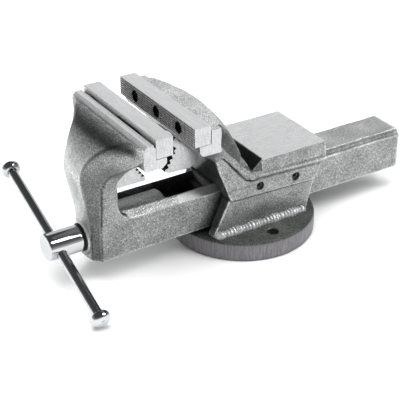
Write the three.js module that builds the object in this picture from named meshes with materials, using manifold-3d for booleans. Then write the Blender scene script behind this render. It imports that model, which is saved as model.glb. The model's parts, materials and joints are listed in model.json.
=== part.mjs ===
// Bench vise with a fixed round base, 125 mm jaws.
// Millimetres, +Z up. Origin: centre of the base disc's underside.
// The slide and spindle run along Y; the handle is at -Y, the open end of the slide at +Y.
import * as THREE from "three";
import { ConvexGeometry } from "three/addons/geometries/ConvexGeometry.js";
import { mergeVertices } from "three/addons/utils/BufferGeometryUtils.js";
import Module from "manifold-3d";

const wasm = await Module();
wasm.setup();

// ---------------------------------------------------------------- driving dimensions
const JAW_HALF = 62.5;          // half of the 125 mm jaw width
const GAP = 0.3;                // clearance between touching pieces

const DISC_R = 68.4, DISC_H = 17.1;
const HOLE_R = 5.25, HOLE_PITCH_R = 51;      // two bench bolt holes

const SLIDE_B = 21.3;           // slide half-width
const SLIDE_Z0 = 21.7, SLIDE_Z1 = 61.8;      // slide underside and top
const SLIDE_LEDGE = 56.5, SLIDE_STEP = 4.8;  // cove along both upper edges
const SLIDE_Y0 = -158, SLIDE_Y1 = 170.8;
const CAV_B = 15, CAV_Z0 = 27, CAV_Z1 = 55;  // inside of the slide
const CHAN_Y0 = -144, CHAN_Y1 = -45;         // open-topped stretch
const BOSS_Y1 = -88;            // spindle boss in the channel ends here
const SLOT_B = 8.2, SLOT_Y0 = -74;           // slot in the slide's floor for the nut's foot

const PLATE_T = 16.1, PLATE_Z0 = 130.4, PLATE_Z1 = 147.3;
const FIX_FACE = -90.6;         // front face of the fixed jaw plate
const MOV_FACE = -110.1;        // working face of the moving jaw plate
const CHEEK_Z0 = 120.8, FIX_TOP = 142.4, MOV_TOP = 143.6;
const PLATE_HOLES = [-36.2, 0, 36.2], PLATE_HOLE_Z = 138.3;

const ANVIL_B = 37.3, ANVIL_Y0 = -3.3, ANVIL_Y1 = 65.6, ANVIL_Z = 84.5;
const SIDE_B = 38;              // half-width over the side plates
const LOW_B = 34;               // half-width of the lower body
const TUN_B = 25.6, TUN_Z0 = 21.35, TUN_Z1 = 62.3;
const SET_Y = [-6.5, 33], SET_Z = [59.2, 57.6], SET_R = 4;

const AXIS_Z = 38.5;            // spindle axis height
const HEAD_R = 12, HEAD_Y0 = -200.2, HEAD_Y1 = -168.9;
const SPINDLE_R = 10, SPINDLE_Y1 = 92;
const BAR_Y = -190.2, BAR_R = 4.6, BAR_TILT = 20.5 * Math.PI / 180;
const BAR_HALF = 85, BAR_SHIFT = -4.95;
const KNOB_R = 8.8, KNOB_H = 9.2;

const PIPE_B = 15;              // half-width of the pipe jaws

// ---------------------------------------------------------------- solids
function solid(g) {
  let q = g.index ? g.toNonIndexed() : g.clone();
  for (const k of Object.keys(q.attributes)) if (k !== "position") q.deleteAttribute(k);
  q = mergeVertices(q, 1e-4);
  const vertProperties = new Float32Array(q.attributes.position.array);
  const triVerts = new Uint32Array(q.index.array);
  const m = new wasm.Manifold(new wasm.Mesh({ numProp: 3, vertProperties, triVerts }));
  return m;
}
function geometry(m) {
  const mesh = m.asOriginal().simplify(0.01).getMesh();
  const n = mesh.numProp, src = mesh.vertProperties, pos = new Float32Array(src.length / n * 3);
  for (let i = 0, j = 0; i < src.length; i += n) { pos[j++] = src[i]; pos[j++] = src[i + 1]; pos[j++] = src[i + 2]; }
  const g = new THREE.BufferGeometry();
  g.setAttribute("position", new THREE.BufferAttribute(pos, 3));
  g.setIndex(new THREE.BufferAttribute(new Uint32Array(mesh.triVerts), 1));
  g.computeVertexNormals();
  return g;
}
const join = (...s) => s.reduce((a, b) => a.add(b));
const cut = (a, ...s) => s.reduce((x, y) => x.subtract(y), a);

function box(x0, x1, y0, y1, z0, z1) {
  const g = new THREE.BoxGeometry(x1 - x0, y1 - y0, z1 - z0);
  g.translate((x0 + x1) / 2, (y0 + y1) / 2, (z0 + z1) / 2);
  return solid(g);
}
const hull = pts => solid(new ConvexGeometry(pts.map(p => new THREE.Vector3(...p))));
// Cylinder between two heights along an axis; r1 is the radius at the far end.
function cyl(axis, a, b, u, v, r0, r1 = r0, n = 32) {
  const g = new THREE.CylinderGeometry(r1, r0, b - a, n, 1);
  if (axis === "z") { g.rotateX(Math.PI / 2); g.translate(u, v, (a + b) / 2); }
  if (axis === "y") g.translate(u, (a + b) / 2, v);
  if (axis === "x") { g.rotateZ(-Math.PI / 2); g.translate((a + b) / 2, u, v); }
  return solid(g);
}
// Polygon in YZ, extruded along X between x0 and x1.
function prismX(pts, x0, x1) {
  const s = new THREE.Shape(pts.map(p => new THREE.Vector2(p[0], p[1])));
  const g = new THREE.ExtrudeGeometry(s, { depth: x1 - x0, bevelEnabled: false, curveSegments: 6 });
  const m = new THREE.Matrix4().set(0, 0, 1, x0, 1, 0, 0, 0, 0, 1, 0, 0, 0, 0, 0, 1);
  g.applyMatrix4(m);
  return solid(g);
}
// Polygon in XZ, extruded along Y between y0 and y1.
function prismY(pts, y0, y1) {
  const s = new THREE.Shape(pts.map(p => new THREE.Vector2(p[0], p[1])));
  const g = new THREE.ExtrudeGeometry(s, { depth: y1 - y0, bevelEnabled: false, curveSegments: 6 });
  const m = new THREE.Matrix4().set(1, 0, 0, 0, 0, 0, -1, y1, 0, 1, 0, 0, 0, 0, 0, 1);
  g.applyMatrix4(m);
  return solid(g);
}
// Loft: each ring is [z, [[x, y], ...]], counter-clockwise seen from above, equal counts.
function loftZ(rings) {
  const n = rings[0][1].length, pos = [], idx = [];
  for (const [z, r] of rings) for (const p of r) pos.push(p[0], p[1], z);
  const k = rings.length;
  for (let i = 0; i < k - 1; i++) for (let j = 0; j < n; j++) {
    const a = i * n + j, b = i * n + (j + 1) % n, c = a + n, d = b + n;
    idx.push(a, b, d, a, d, c);
  }
  const cap = (r, base, up) => {
    const tri = THREE.ShapeUtils.triangulateShape(r.map(p => new THREE.Vector2(...p)), []);
    for (const t of tri) {
      const [a, b, c] = t;
      const s = (r[b][0] - r[a][0]) * (r[c][1] - r[a][1]) - (r[b][1] - r[a][1]) * (r[c][0] - r[a][0]);
      if ((s > 0) === up) idx.push(base + a, base + b, base + c); else idx.push(base + a, base + c, base + b);
    }
  };
  cap(rings[0][1], 0, false);
  cap(rings[k - 1][1], (k - 1) * n, true);
  const g = new THREE.BufferGeometry();
  g.setAttribute("position", new THREE.Float32BufferAttribute(pos, 3));
  g.setIndex(idx);
  return solid(g);
}
const mirror = half => [...half, ...half.slice().reverse().map(p => [-p[0], p[1]])];

// ---------------------------------------------------------------- materials
const mat = (color, roughness, metalness) => new THREE.MeshStandardMaterial({ color, roughness, metalness });
const CAST = mat(0x8b8d8e, 0.45, 0.55);
const MACHINED = mat(0xb9bbbc, 0.35, 0.9);
const KNURLED = mat(0x6a6c6e, 0.5, 0.8);
const CHROME = mat(0xe2e4e6, 0.08, 1.0);
const BLACK = mat(0x26272a, 0.5, 0.7);
const STEEL = mat(0x9a9c9e, 0.4, 0.9);
const WELD = mat(0xb0b2b0, 0.5, 0.7);

const group = new THREE.Group();
const put = (name, m, material) => {
  const mesh = new THREE.Mesh(m instanceof THREE.BufferGeometry ? m : geometry(m), material);
  mesh.name = name;
  group.add(mesh);
  return mesh;
};

// ---------------------------------------------------------------- base
const edge = 1.2;
let base = solid(new THREE.LatheGeometry([
  [0, 0], [DISC_R - edge, 0], [DISC_R, edge], [DISC_R, DISC_H - edge], [DISC_R - edge, DISC_H], [0, DISC_H],
].map(p => new THREE.Vector2(...p)), 72).rotateX(Math.PI / 2));
const NUT_Y = [-43, -27];
for (const s of [-1, 1]) base = base.subtract(cyl("z", -1, DISC_H + 1, s * HOLE_PITCH_R, 0, HOLE_R, HOLE_R, 28));
for (const y of NUT_Y) {
  base = base.subtract(cyl("z", -1, DISC_H + 1, 0, y, 4.5, 4.5, 20));
  base = base.subtract(cyl("z", -1, 9, 0, y, 7.5, 7.5, 24));
}
put("base_plate", base, CAST);

// ---------------------------------------------------------------- fixed jaw body
// Back of the jaw and neck: rings narrow from the jaw's width to the anvil's.
// [z, half-width, y of the side edge, y of the back at the middle]
const NECK = [
  [FIX_TOP, 56, -63, -52.2],
  [131, 53, -51, -40.5],
  [120.5, 48, -44, -33.5],
  [110, 44, -36.5, -28],
  [100, 41, -30.5, -23],
  [91, 39, -25, -18.5],
  [82, 38.4, -19.5, -14],
  [72, 38.2, -14.5, -10],
  [66, 38, -12, -8.5],
];
const neck = loftZ(NECK.slice().reverse().map(([z, w, ys, yc]) => {
  const front = z > 120 ? -74.2 : z > 102 ? -70 + (120 - z) * 0.75 : -56.5 + (102 - z) * 0.402;
  const arc = [0.92, 0.75, 0.5, 0.25, 0].map(t => [w * t, ys + (yc - ys) * (1 - t * t)]);
  return [z, mirror([[w, front], [w, ys], ...arc.slice(0, 4), [0.001 + w * 0.08, yc]])];
}));
const cheek = prismX([
  [-74.2, CHEEK_Z0 + 1], [-74.2, FIX_TOP], [-64.8, FIX_TOP], [-64.5, CHEEK_Z0], [-81.7, CHEEK_Z0],
  [-85.3, 124.2], [-85.3, PLATE_Z0 - GAP], [-74.2, PLATE_Z0 - GAP],
].slice(1), -JAW_HALF, JAW_HALF);
// Underside of the jaw, sloping in from the cheeks to the side plates.
const shoulder = hull([
  [-60.5, -81.7, 121], [60.5, -81.7, 121], [-61, -64.8, 121], [61, -64.8, 121],
  [-SIDE_B + 0.4, -57, 99], [SIDE_B - 0.4, -57, 99], [-SIDE_B + 0.4, -49, 99], [SIDE_B - 0.4, -49, 99],
  [-30, -76, 112], [30, -76, 112],
]);
const sides = prismX([
  [-57.4, 102.1], [-37.1, 51.5], [55.2, 48.5], [61.6, 62.1], [66.4, 66], [66.4, 69.5], [-18, 73.2], [-38, 102.1],
], -SIDE_B, SIDE_B);
const rim = hull([
  [-39.6, -18, 73.4], [39.6, -18, 73.4], [-38.6, 66.4, 69.6], [38.6, 66.4, 69.6],
  [-ANVIL_B, ANVIL_Y0, ANVIL_Z], [ANVIL_B, ANVIL_Y0, ANVIL_Z], [-ANVIL_B, ANVIL_Y1, ANVIL_Z], [ANVIL_B, ANVIL_Y1, ANVIL_Z],
  [-39.4, -17, 68], [39.4, -17, 68], [-38.4, 66, 66.5], [38.4, 66, 66.5],
]);
const lower = hull([
  [-LOW_B, -53.5, DISC_H + GAP], [LOW_B, -53.5, DISC_H + GAP], [-LOW_B, 50, DISC_H + GAP], [LOW_B, 50, DISC_H + GAP],
  [-36, -38.5, 52], [36, -38.5, 52], [-36, 56.5, 52], [36, 56.5, 52],
]);
// Trough across the body between the neck and the anvil's front face.
const trough = prismX([[-24, 66.2], [ANVIL_Y0, 66.2], [ANVIL_Y0, 95], [-40, 95]], -34.2, 34.2);
let fixed = join(cut(join(sides, rim, lower), trough), neck, cheek, shoulder);
// Tunnel for the slide, with room at each side for a gib strip.
fixed = cut(fixed,
  prismY([[-TUN_B, TUN_Z0], [TUN_B, TUN_Z0], [TUN_B, SLIDE_LEDGE + 6.2], [-TUN_B, SLIDE_LEDGE + 6.2]], -120, 120),
);
const PIPE_SEAT = prismX([
  [-100, 80], [-100, 118], [-79.8, 118], [-56.6, 94.6], [-56.6, 80],
], -PIPE_B - GAP, PIPE_B + GAP);
fixed = cut(fixed, PIPE_SEAT);
for (const s of [-1, 1]) SET_Y.forEach((y, i) => {
  fixed = fixed.subtract(cyl("x", s > 0 ? 20 : -60, s > 0 ? 60 : -20, y, SET_Z[i], SET_R + GAP, SET_R + GAP, 24));
});
for (const y of NUT_Y) fixed = fixed.subtract(cyl("z", 10, 25, 0, y, 4.5, 4.5, 20));
for (const x of PLATE_HOLES) fixed = fixed.subtract(cyl("y", -79, -62.5, x, PLATE_HOLE_Z, 3.5, 3.5, 16));
put("fixed_jaw_body", fixed, CAST);

// Weld beads between the body's sides and the base.
for (const [s, name] of [[1, "base_weld_bead_right"], [-1, "base_weld_bead_left"]]) {
  const z = DISC_H + GAP, x = s * (LOW_B + GAP);
  put(name, hull([-51.5, 48].flatMap(y => [
    [x, y, z], [x + s * 4.6, y, z], [x + s * 3.4, y, z + 2.4], [x + s * 0.4, y, z + 5],
  ])), WELD);
}

// ---------------------------------------------------------------- gib strips and set screws
for (const [s, side] of [[1, "right"], [-1, "left"]]) {
  const a = s * (SLIDE_B + 0.35), b = s * (TUN_B - GAP);
  put(`gib_strip_${side}`, box(Math.min(a, b), Math.max(a, b), -28, 50, 24, 62), STEEL);
  SET_Y.forEach((y, i) => {
    const x0 = TUN_B + 0.05, x1 = SIDE_B - 2.6;
    let scr = cyl("x", s > 0 ? x0 : -x1, s > 0 ? x1 : -x0, y, SET_Z[i], SET_R, SET_R, 24);
    scr = scr.subtract(cyl("x", s > 0 ? x1 - 4.5 : -x1 - 1, s > 0 ? x1 + 1 : -x1 + 4.5, y, SET_Z[i], 2.3, 2.3, 6));
    put(`gib_screw_${side}_${i ? "rear" : "front"}`, scr, BLACK);
  });
}

// ---------------------------------------------------------------- jaw plates and their screws
function plate(face, dir) {
  const back = face + dir * PLATE_T;
  const [y0, y1] = face < back ? [face, back] : [back, face];
  let p = prismX([[y0, PLATE_Z0], [y1, PLATE_Z0], [y1, PLATE_Z1], [y0, PLATE_Z1]], -JAW_HALF, JAW_HALF);
  for (const x of PLATE_HOLES) {
    p = p.subtract(cyl("y", y0 - 1, y1 + 1, x, PLATE_HOLE_Z, 3.3, 3.3, 16));
    const c0 = dir > 0 ? face - 1 : face - 7.5, c1 = dir > 0 ? face + 7.5 : face + 1;
    p = p.subtract(cyl("y", c0, c1, x, PLATE_HOLE_Z, 4.9, 4.9, 24));
  }
  return p;
}
function plateScrew(face, dir, x) {
  const a = face + dir * 2.4, b = face + dir * (7.5 - GAP), c = face + dir * (PLATE_T + 7);
  const span = (p, q) => p < q ? [p, q] : [q, p];
  let s = cyl("y", ...span(a, b), x, PLATE_HOLE_Z, 4.6, 4.6, 24);
  s = s.add(cyl("y", ...span(b - dir * 0.5, c), x, PLATE_HOLE_Z, 3, 3, 16));
  return s.subtract(cyl("y", ...span(a - dir, a + dir * 3), x, PLATE_HOLE_Z, 2.3, 2.3, 6));
}
put("fixed_jaw_plate", plate(FIX_FACE, 1), KNURLED);
put("moving_jaw_plate", plate(MOV_FACE, -1), KNURLED);
PLATE_HOLES.forEach((x, i) => {
  const n = ["left", "middle", "right"][i];
  put(`fixed_plate_screw_${n}`, plateScrew(FIX_FACE, 1, x), BLACK);
  put(`moving_plate_screw_${n}`, plateScrew(MOV_FACE, -1, x), BLACK);
});

// ---------------------------------------------------------------- pipe jaws, serrated vee
// Teeth along a line from p to q in YZ, `out` is the side the teeth point to.
function teeth(p, q, n, depth, out) {
  const r = [];
  const d = [(q[0] - p[0]) / n, (q[1] - p[1]) / n], len = Math.hypot(...d);
  const m = [-d[1] / len * out, d[0] / len * out];
  for (let i = 0; i < n; i++) {
    r.push([p[0] + d[0] * i, p[1] + d[1] * i]);
    r.push([p[0] + d[0] * (i + 0.5) + m[0] * depth, p[1] + d[1] * (i + 0.5) + m[1] * depth]);
  }
  r.push(q);
  return r;
}
put("fixed_pipe_jaw", prismX([
  [-57, 88], [-57, 94.2], [-80.2, 117.4], [-83, 114], [-83, 110.5],
  ...teeth([-79.5, 106.5], [-90.6, 86.4], 5, 1.6, -1), [-86, 84.6], [-66, 83.6],
], -PIPE_B, PIPE_B), STEEL);
put("moving_pipe_jaw", prismX([
  [-143.4, 84.5], [-110.6, 84.5], ...teeth([-110.6, 86.4], [-123.5, 104], 5, 1.6, -1).slice(1),
  [-119.8, 110], [-119.8, 114], [-128, 114], [-132, 102], [-139, 99.5], [-143.4, 94],
], -PIPE_B, PIPE_B), STEEL);

// ---------------------------------------------------------------- moving jaw and slide
// Head rings: [z, front y at the middle, crease x, crease y, side x, side y, back y]
const HEAD = [
  [SLIDE_Z0, -166, 14.8, -164.1, 21.3, -157.4, -140],
  [40, -165.6, 14.8, -163.8, 21.3, -157.2, -140],
  [58, -166, 14.8, -164, 21.3, -156.8, -140],
  [70, -168, 14.8, -166.2, 21.3, -156.2, -140],
  [82, -170.6, 15, -168.8, 21.3, -155.6, -140],
  [94, -173.2, 15.4, -171.3, 21.6, -154.6, -141],
  [104, -174.2, 15.8, -172, 26, -150.5, -134],
  [113, -172.4, 17, -169.8, 37, -146, -130],
  [121, -168.4, 20, -165.4, 50, -140.5, -127],
  [129, -161.6, 26, -158.4, 59, -138, -126.6],
  [136, -152, 34, -148.4, 62, -136.8, -126.6],
  [141, -139.6, 46, -138.8, 62.4, -136.2, -126.6],
];
const headRing = ([z, yf, cx, cy, sx, sy, yb]) => [z, mirror([
  [cx * 0.35, yf], [cx * 0.75, yf + (cy - yf) * 0.45], [cx, cy], [(cx + sx) / 2 + 0.3, (cy + sy) / 2 - 0.2], [sx, sy], [sx, yb],
])];
const head = loftZ(HEAD.map(headRing));
const cheekM = prismX([
  [-136, MOV_TOP - 1], [-135, MOV_TOP], [-126.5, MOV_TOP], [-126.5, PLATE_Z0 - GAP], [-116.4, PLATE_Z0 - GAP],
  [-116.4, 124.6], [-120.4, CHEEK_Z0], [-136.6, CHEEK_Z0], [-137, 126],
].reverse(), -JAW_HALF, JAW_HALF);
const under = hull([
  [-58, -137, 121], [58, -137, 121], [-58, -121, 121], [58, -121, 121],
  [-22, -150, 100], [22, -150, 100], [-22, -131, 103], [22, -131, 103], [-22, -143, 92], [22, -143, 92],
]);
const slide = prismY([
  [-SLIDE_B, SLIDE_Z0], [SLIDE_B, SLIDE_Z0], [SLIDE_B, SLIDE_LEDGE], [SLIDE_B - 2.9, SLIDE_LEDGE + 1.1],
  [SLIDE_B - SLIDE_STEP + 0.7, SLIDE_LEDGE + 3], [SLIDE_B - SLIDE_STEP, SLIDE_Z1], [-SLIDE_B + SLIDE_STEP, SLIDE_Z1],
  [-SLIDE_B + SLIDE_STEP - 0.7, SLIDE_LEDGE + 3], [-SLIDE_B + 2.9, SLIDE_LEDGE + 1.1], [-SLIDE_B, SLIDE_LEDGE],
], SLIDE_Y0 + 6, SLIDE_Y1);
// Fillet from the head down to the slide's upper edge.
const heel = prismX([[-156, 50], [-132, 50], [-132, 58.5], [-136, 61], [-139.5, 66], [-142.5, 73.5], [-144.2, 88.5], [-150, 90]], -SLIDE_B, SLIDE_B);
let moving = join(head, cheekM, under, heel, slide);
// Front boss for the thrust washer.
moving = moving.add(cyl("y", -166.6, -156, 0, AXIS_Z, 14, 15, 32));
// Hollow of the slide: open channel, deep pocket behind the spindle boss, closed-top stretch with a floor slot.
moving = cut(moving,
  box(-CAV_B, CAV_B, BOSS_Y1, CHAN_Y1, CAV_Z0, 80),
  box(-CAV_B, CAV_B, CHAN_Y1 - 1, SLIDE_Y1 + 5, CAV_Z0, CAV_Z1),
  box(-SLOT_B, SLOT_B, SLOT_Y0, SLIDE_Y1 + 5, 10, CAV_Z0 + 1),
  prismY([[-CAV_B, 54], [-9, 58.6], [0, 60], [9, 58.6], [CAV_B, 54], [CAV_B, 86], [-CAV_B, 86]], CHAN_Y0, BOSS_Y1 + 1),
  cyl("y", -170, BOSS_Y1 + 1, 0, AXIS_Z, SPINDLE_R + 0.4, SPINDLE_R + 0.4, 32),
);
// Seat of the moving pipe jaw, and its plate screws' holes.
moving = moving.subtract(prismX([[-143.7, 84.2], [-100, 84.2], [-100, 114.3], [-128.2, 114.3], [-132.3, 102.3], [-139.2, 99.8], [-143.7, 94.1]].reverse(), -PIPE_B - GAP, PIPE_B + GAP));
for (const x of PLATE_HOLES) moving = moving.subtract(cyl("y", -140, -120, x, PLATE_HOLE_Z, 3.3, 3.3, 16).subtract(box(-70, 70, -150, -134.5, 120, 150)));
put("moving_jaw", moving, CAST);

// ---------------------------------------------------------------- spindle, its nut and what holds it
let spindle = join(
  solid(new THREE.LatheGeometry([
    [0, HEAD_Y0], [HEAD_R - 1, HEAD_Y0], [HEAD_R, HEAD_Y0 + 1], [HEAD_R, HEAD_Y1], [SPINDLE_R, HEAD_Y1],
    [SPINDLE_R, SPINDLE_Y1 - 2], [SPINDLE_R - 2, SPINDLE_Y1], [0, SPINDLE_Y1],
  ].map(p => new THREE.Vector2(...p)), 40).translate(0, 0, AXIS_Z)),
);
const barTurn = new THREE.Matrix4().makeTranslation(0, BAR_Y, AXIS_Z)
  .multiply(new THREE.Matrix4().makeRotationY(BAR_TILT));
const along = g => g.rotateZ(-Math.PI / 2).applyMatrix4(barTurn);
spindle = cut(spindle,
  solid(along(new THREE.CylinderGeometry(BAR_R + GAP, BAR_R + GAP, 60, 28))),
  cyl("z", 20, 60, 0, BOSS_Y1 + 6, 2.3, 2.3, 14),
);
put("spindle", spindle, CHROME);
put("thrust_washer", cyl("y", -168.6, -166.9, 0, AXIS_Z, 13.4, 13.4, 32).subtract(cyl("y", -170, -160, 0, AXIS_Z, SPINDLE_R + GAP, SPINDLE_R + GAP, 32)), BLACK);
put("spindle_collar", cut(cyl("y", BOSS_Y1 + 1.2, BOSS_Y1 + 10, 0, AXIS_Z, 11.2, 11.2, 32),
  cyl("y", BOSS_Y1, BOSS_Y1 + 12, 0, AXIS_Z, SPINDLE_R + 0.25, SPINDLE_R + 0.25, 32),
  cyl("z", 20, 60, 0, BOSS_Y1 + 6, 2.3, 2.3, 14)), STEEL);
put("collar_pin", cyl("z", AXIS_Z - 11, AXIS_Z + 11, 0, BOSS_Y1 + 6, 2, 2, 14), BLACK);

const nutBody = join(
  box(-CAV_B + 0.9, CAV_B - 0.9, -50, -20, CAV_Z0 + 0.6, CAV_Z1 - 1),
  box(-SLOT_B + 0.8, SLOT_B - 0.8, -50, -20, TUN_Z0 + GAP, CAV_Z0 + 1),
);
put("spindle_nut", cut(nutBody, cyl("y", -60, -10, 0, AXIS_Z, SPINDLE_R + 0.35, SPINDLE_R + 0.35, 32),
  ...NUT_Y.map(y => cyl("z", 15, 27.6, 0, y, 4.3, 4.3, 20))), STEEL);
NUT_Y.forEach((y, i) => {
  const s = join(cyl("z", 1, 8.7, 0, y, 6.8, 6.8, 24), cyl("z", 8, 27, 0, y, 4, 4, 20));
  put(`nut_bolt_${i ? "rear" : "front"}`, s.subtract(cyl("z", 0, 5, 0, y, 3.4, 3.4, 6)), BLACK);
});

// ---------------------------------------------------------------- tommy bar
const shift = new THREE.Matrix4().makeTranslation(BAR_SHIFT, 0, 0);
const onBar = g => g.rotateZ(-Math.PI / 2).applyMatrix4(shift).applyMatrix4(barTurn);
put("tommy_bar", geometry(solid(onBar(new THREE.CylinderGeometry(BAR_R, BAR_R, 2 * BAR_HALF - 1, 28)))), CHROME);
for (const [s, name] of [[-1, "bar_knob_upper"], [1, "bar_knob_lower"]]) {
  const a = BAR_HALF - 0.2, pts = [[0, a], [6.6, a], [KNOB_R - 0.5, a + 1.2], [KNOB_R, a + 3], [KNOB_R - 0.2, a + 5.2], [7.2, a + 7.4], [4.2, a + 8.8], [0, a + KNOB_H]];
  const g = new THREE.LatheGeometry((s > 0 ? pts : pts.map(p => [p[0], -p[1]]).reverse()).map(p => new THREE.Vector2(...p)), 28);
  put(name, geometry(solid(onBar(g))), CHROME);
}

export default group;
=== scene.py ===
import json
import math
import bmesh
import bpy
import numpy as np
from mathutils import Matrix, Vector

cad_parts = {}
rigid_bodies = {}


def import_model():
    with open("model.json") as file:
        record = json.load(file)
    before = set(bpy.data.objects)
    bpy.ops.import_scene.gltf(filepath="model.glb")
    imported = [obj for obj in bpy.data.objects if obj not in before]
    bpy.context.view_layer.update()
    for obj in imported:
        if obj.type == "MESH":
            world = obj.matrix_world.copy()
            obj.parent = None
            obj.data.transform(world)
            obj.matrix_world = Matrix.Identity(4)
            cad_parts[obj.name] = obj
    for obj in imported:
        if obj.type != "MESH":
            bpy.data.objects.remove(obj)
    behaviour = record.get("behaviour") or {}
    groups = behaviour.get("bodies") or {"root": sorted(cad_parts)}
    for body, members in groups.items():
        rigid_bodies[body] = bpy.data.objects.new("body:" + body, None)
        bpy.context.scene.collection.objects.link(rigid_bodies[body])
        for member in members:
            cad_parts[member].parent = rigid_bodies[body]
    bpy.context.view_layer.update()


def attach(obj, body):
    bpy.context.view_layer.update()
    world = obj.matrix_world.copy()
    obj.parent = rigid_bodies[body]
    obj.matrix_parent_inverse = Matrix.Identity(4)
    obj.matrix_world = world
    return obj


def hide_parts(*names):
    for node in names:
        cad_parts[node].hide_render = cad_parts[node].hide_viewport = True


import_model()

MM = 0.001

# ------------------------------------------------------------------ camera
AZ, EL, ROLL, DIST, FOCAL = 57.773, 30.043, 0.139, 1023.094, 1126.357
TARGET = np.array((0.0, -45.878, 38.185))
a, e = math.radians(AZ), math.radians(EL)
back = np.array((math.sin(a) * math.cos(e), -math.cos(a) * math.cos(e), math.sin(e)))
right = np.cross(-back, (0, 0, 1)); right /= np.linalg.norm(right)
up = np.cross(right, -back)
r = math.radians(ROLL)
right, up = right * math.cos(r) + up * math.sin(r), -right * math.sin(r) + up * math.cos(r)
cam = bpy.data.objects.new("camera", bpy.data.cameras.new("camera"))
bpy.context.scene.collection.objects.link(cam)
m = Matrix.Identity(4)
for i in range(3):
    m[i][0], m[i][1], m[i][2] = right[i], up[i], back[i]
    m[i][3] = (TARGET[i] + back[i] * DIST) * MM
cam.matrix_world = m
cam.data.sensor_width = 36
cam.data.lens = FOCAL / 400 * 36
cam.data.clip_start, cam.data.clip_end = 0.01, 20
bpy.context.scene.camera = cam
bpy.context.scene.view_settings.view_transform = "Standard"
bpy.context.scene.view_settings.look = "Medium High Contrast"

# ------------------------------------------------------------------ mesh helpers (millimetres in, metres out)
def link(me, name):
    o = bpy.data.objects.new(name, me)
    bpy.context.scene.collection.objects.link(o)
    return o

def make(name, verts, faces):
    me = bpy.data.meshes.new(name)
    v = np.asarray(verts, dtype=np.float64) * MM
    me.from_pydata([tuple(p) for p in v], [], [tuple(int(i) for i in f) for f in faces])
    me.validate(); me.update()
    return link(me, name)

def make_quads(name, v, q):
    me = bpy.data.meshes.new(name)
    n, k = len(v), len(q)
    me.vertices.add(n); me.vertices.foreach_set("co", (v * MM).astype(np.float32).ravel())
    me.loops.add(4 * k); me.loops.foreach_set("vertex_index", q.astype(np.int32).ravel())
    me.polygons.add(k); me.polygons.foreach_set("loop_start", np.arange(0, 4 * k, 4, dtype=np.int32))
    me.update(calc_edges=True); me.validate()
    return link(me, name)

def box(name, x0, x1, y0, y1, z0, z1):
    v = [(x, y, z) for x in (x0, x1) for y in (y0, y1) for z in (z0, z1)]
    f = [(0, 1, 3, 2), (4, 6, 7, 5), (0, 4, 5, 1), (2, 3, 7, 6), (0, 2, 6, 4), (1, 5, 7, 3)]
    return make(name, v, f)

def lathe(name, prof, origin, axis, n=64, side=None):
    """prof: [(radius, distance along axis)] from end to end; radius 0 closes."""
    w = np.array(axis, float); w /= np.linalg.norm(w)
    u = np.cross(w, (0, 0, 1) if abs(w[2]) < 0.9 else (1, 0, 0)); u /= np.linalg.norm(u)
    t = np.cross(w, u)
    o = np.array(origin, float)
    verts, rings = [], []
    for rad, d in prof:
        if rad < 1e-6:
            rings.append([len(verts)]); verts.append(o + w * d)
        else:
            rings.append(list(range(len(verts), len(verts) + n)))
            for i in range(n):
                c = 2 * math.pi * i / n
                verts.append(o + w * d + (u * math.cos(c) + t * math.sin(c)) * rad)
    faces = []
    for p, q in zip(rings, rings[1:]):
        for i in range(n):
            j = (i + 1) % n
            if len(p) == 1 and len(q) > 1: faces.append((p[0], q[j], q[i]))
            elif len(q) == 1 and len(p) > 1: faces.append((p[i], p[j], q[0]))
            elif len(p) > 1: faces.append((p[i], p[j], q[j], q[i]))
    if len(rings[0]) > 1 and prof[0] == prof[-1]:
        pass
    o2 = make(name, verts, faces)
    fix_normals(o2)
    return o2

def tube(name, prof, origin, axis, n=64):
    return lathe(name, prof, origin, axis, n)

def fix_normals(o):
    bm = bmesh.new(); bm.from_mesh(o.data)
    bmesh.ops.remove_doubles(bm, verts=bm.verts, dist=1e-7)
    bmesh.ops.recalc_face_normals(bm, faces=bm.faces)
    bm.to_mesh(o.data); bm.free(); o.data.update()

def prism(name, pts, axis, a0, a1):
    """Polygon extruded along X (points are y, z) or along Y (points are x, z)."""
    n = len(pts)
    if axis == "x": v = [(s, p, q) for s in (a0, a1) for p, q in pts]
    else: v = [(p, s, q) for s in (a0, a1) for p, q in pts]
    f = [tuple(range(n))[::-1], tuple(range(n, 2 * n))]
    f += [(i, (i + 1) % n, n + (i + 1) % n, n + i) for i in range(n)]
    o = make(name, v, f); fix_normals(o)
    return o

def apply_mods(o):
    dg = bpy.context.evaluated_depsgraph_get()
    me = bpy.data.meshes.new_from_object(o.evaluated_get(dg))
    old = o.data
    o.modifiers.clear(); o.data = me
    bpy.data.meshes.remove(old)

def cut(o, cutters, op="DIFFERENCE", solver="MANIFOLD"):
    for c in cutters:
        md = o.modifiers.new("b", "BOOLEAN")
        md.operation, md.solver, md.object = op, solver, c
        bpy.context.view_layer.update()
        apply_mods(o)
        bpy.data.objects.remove(c)
    return o

def bevel(o, width=0.35, seg=2, angle=35):
    md = o.modifiers.new("bev", "BEVEL")
    md.width, md.segments, md.limit_method, md.angle_limit = width * MM, seg, "ANGLE", math.radians(angle)
    md.harden_normals = False
    md.use_clamp_overlap = True
    bpy.context.view_layer.update(); apply_mods(o)
    return o

def smooth(o, angle=32):
    o.data.polygons.foreach_set("use_smooth", [True] * len(o.data.polygons))
    o.data.set_sharp_from_angle(angle=math.radians(angle))
    o.data.update()
    return o

def faces_where(o, mat_index, test):
    """test(centres in mm, normals) gives a mask of the faces that take a material."""
    me = o.data; n = len(me.polygons)
    c = np.empty(3 * n, np.float32); me.polygons.foreach_get("center", c)
    nn = np.empty(3 * n, np.float32); me.polygons.foreach_get("normal", nn)
    idx = np.empty(n, np.int32); me.polygons.foreach_get("material_index", idx)
    k = test(c.reshape(-1, 3) / MM, nn.reshape(-1, 3))
    idx[k] = mat_index
    me.polygons.foreach_set("material_index", idx); me.update()

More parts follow.
